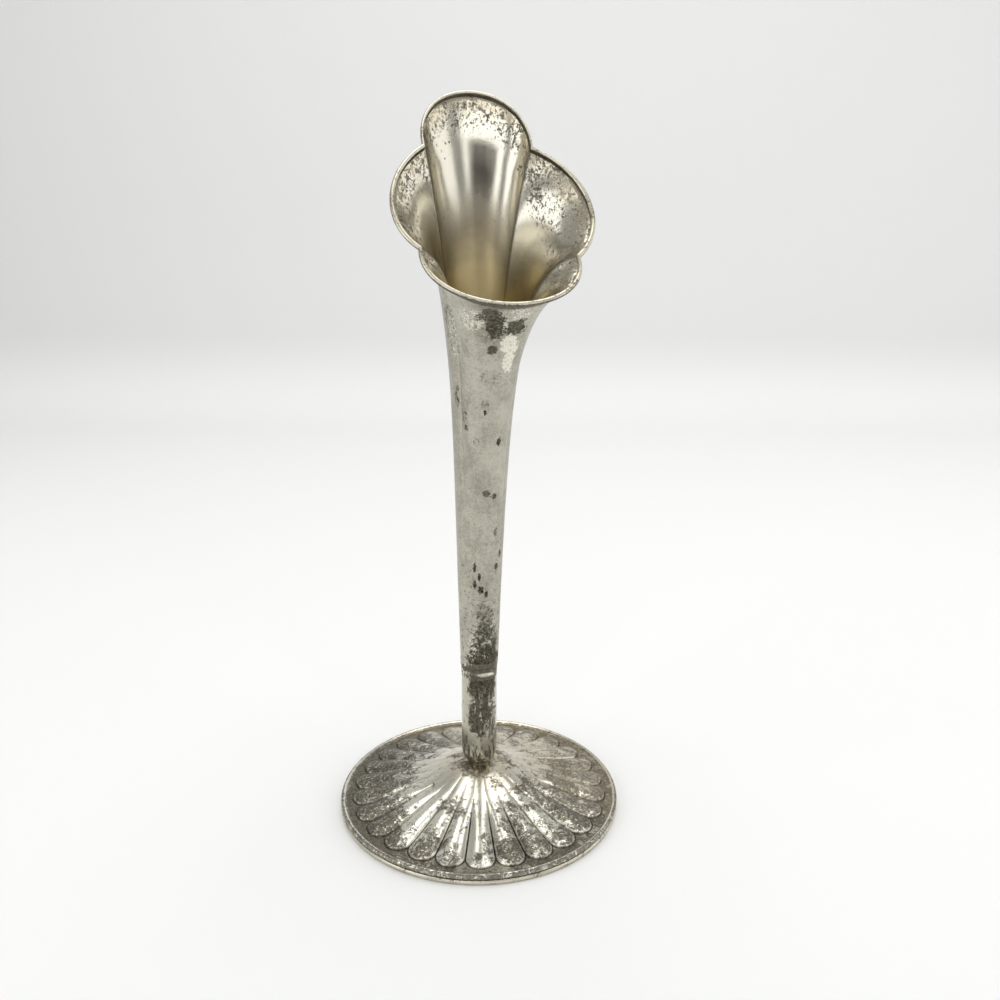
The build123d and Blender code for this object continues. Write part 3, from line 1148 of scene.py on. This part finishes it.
@dataclass(frozen=True)
class Studio:
    """Floor with a sweep behind, soft lights and the camera."""

    eye: Colour = (-48.1, -209.9, 141.2)
    heading: float = 14.23
    pitch: float = 15.97
    roll: float = 0.29
    lens: float = 34.2
    floor_colour: Colour = (0.95, 0.95, 0.94)
    # The wall's darker grey is painted shade on the upright part of the sweep.
    shaded_wall_colour: Colour = (0.78, 0.78, 0.78)
    wall_distance: float = 470.0
    sweep_radius: float = 160.0
    floor_reach: float = 2500.0
    wall_top: float = 1600.0
    card_at: Colour = (-30.0, -420.0, 148.0)
    card_size: tuple[float, float] = (320.0, 160.0)
    card_tones: tuple[Colour, Colour] = ((0.02, 0.013, 0.011), (0.045, 0.03, 0.026))
    sky_colour: Colour = (0.80, 0.80, 0.79)
    sky_strength: float = 0.475
    sensor: float = 36.0
    panels: tuple[tuple[str, Colour, Colour, tuple[float, float], float], ...] = (
        ("overhead", (60.0, 90.0, 760.0), (0.0, 0.0, 60.0), (0.65, 0.65), 2.82),
        ("front", (-110.0, -900.0, 330.0), (0.0, 0.0, 150.0), (1.1, 0.75), 3.7),
        ("right", (690.0, -230.0, 330.0), (0.0, 0.0, 150.0), (0.9, 0.6), 1.7),
        ("left", (-650.0, -210.0, 330.0), (0.0, 0.0, 150.0), (0.5, 0.6), 1.35),
    )

    def build_floor(self) -> None:
        """Make the floor, which sweeps up into a plain wall behind the vase."""
        turn = np.linspace(0, np.pi / 2, 24)
        sweep = self.wall_distance + self.sweep_radius * np.sin(turn)
        depth = np.concatenate([[-self.floor_reach], sweep, sweep[-1:]])
        rise = np.concatenate([[0.0], self.sweep_radius * (1 - np.cos(turn)), [self.wall_top]])
        angle = -math.radians(self.heading)
        points = []
        for side in (-self.floor_reach, self.floor_reach):
            x = side * math.cos(angle) - depth * math.sin(angle)
            y = side * math.sin(angle) + depth * math.cos(angle)
            points.append(np.stack([x, y, rise], -1))
        count = len(depth)
        faces = [(i, count + i, count + i + 1, i + 1) for i in range(count - 1)]
        mesh = bpy.data.meshes.new("floor")
        mesh.from_pydata((np.concatenate(points) * MM).tolist(), [], faces)
        mesh.polygons.foreach_set("use_smooth", np.ones(len(mesh.polygons), bool))
        shader = Shader("pale_floor")
        # Floor colour rising into the darker wall colour, which is painted shade.
        tone = shader.mix(shader.between(shader.axis("Z"), 2.0, 60.0), self.floor_colour, self.shaded_wall_colour)
        mesh.materials.append(shader.surface({"Base Color": tone, "Roughness": 0.8, "Specular IOR Level": 0.1}))
        floor = bpy.data.objects.new("floor", mesh)
        bpy.context.scene.collection.objects.link(floor)

    def build_card(self) -> None:
        """Make the dark card in front that is mirrored in the mouth."""
        wide, tall = (size / 2 for size in self.card_size)
        corners = [(-wide, 0.0, -tall), (wide, 0.0, -tall), (wide, 0.0, tall), (-wide, 0.0, tall)]
        mesh = bpy.data.meshes.new("card")
        mesh.from_pydata([(Vector(self.card_at) + Vector(corner)) * MM for corner in corners], [], [(0, 1, 2, 3)])
        shader = Shader("dark_card")
        tone = shader.mix(shader.noise(20.0), *self.card_tones)
        mesh.materials.append(shader.surface({"Base Color": tone, "Roughness": 0.9, "Specular IOR Level": 0.1}))
        card = bpy.data.objects.new("card", mesh)
        card.visible_camera = False
        bpy.context.scene.collection.objects.link(card)

    def build_lights(self) -> None:
        """Make the soft panels and the even light from all round."""
        for name, at, aim, size, power in self.panels:
            lamp = bpy.data.lights.new(name, "AREA")
            lamp.shape = "RECTANGLE"
            lamp.size, lamp.size_y = size
            lamp.energy = power
            panel = bpy.data.objects.new(name, lamp)
            panel.location = Vector(at) * MM
            panel.rotation_euler = (Vector(aim) - Vector(at)).to_track_quat("-Z", "Y").to_euler()
            panel.visible_camera = False
            bpy.context.scene.collection.objects.link(panel)
        world = bpy.data.worlds.new("studio")
        world.use_nodes = True
        sky = world.node_tree.nodes["Background"].inputs
        sky["Color"].default_value = (*self.sky_colour, 1.0)
        sky["Strength"].default_value = self.sky_strength
        bpy.context.scene.world = world

    def build_camera(self) -> None:
        """Make the camera, a little above the vase and to its left."""
        data = bpy.data.cameras.new("camera")
        data.lens = self.lens
        data.sensor_width = self.sensor
        data.clip_start = 0.01
        camera = bpy.data.objects.new("camera", data)
        turn = Matrix.Rotation(-math.radians(self.heading), 4, "Z")
        tip = Matrix.Rotation(math.radians(90 - self.pitch), 4, "X")
        lean = Matrix.Rotation(math.radians(self.roll), 4, "Z")
        camera.matrix_world = Matrix.Translation(Vector(self.eye) * MM) @ turn @ tip @ lean
        bpy.context.scene.collection.objects.link(camera)
        bpy.context.scene.camera = camera
        bpy.context.scene.view_settings.view_transform = "Standard"


def main() -> None:
    """Build the vase's pieces and the studio."""
    logging.basicConfig(level=logging.INFO, format="%(name)s: %(message)s")
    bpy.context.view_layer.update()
    wire, solder = WirePlate().material(), SolderPlate().material()
    trumpet, stem, foot = Trumpet(), Stem(), Foot()
    trumpet.build_shell(TrumpetPlate().material())
    trumpet.build_wire(wire)
    stem.build_tip(StemPlate().material())
    stem.build_joint(solder)
    foot.build_dome(FootPlate().material())
    foot.build_wire(wire)
    foot.build_solder(solder)
    studio = Studio()
    studio.build_floor()
    studio.build_card()
    studio.build_lights()
    studio.build_camera()


if __name__ == "__main__":
    main()
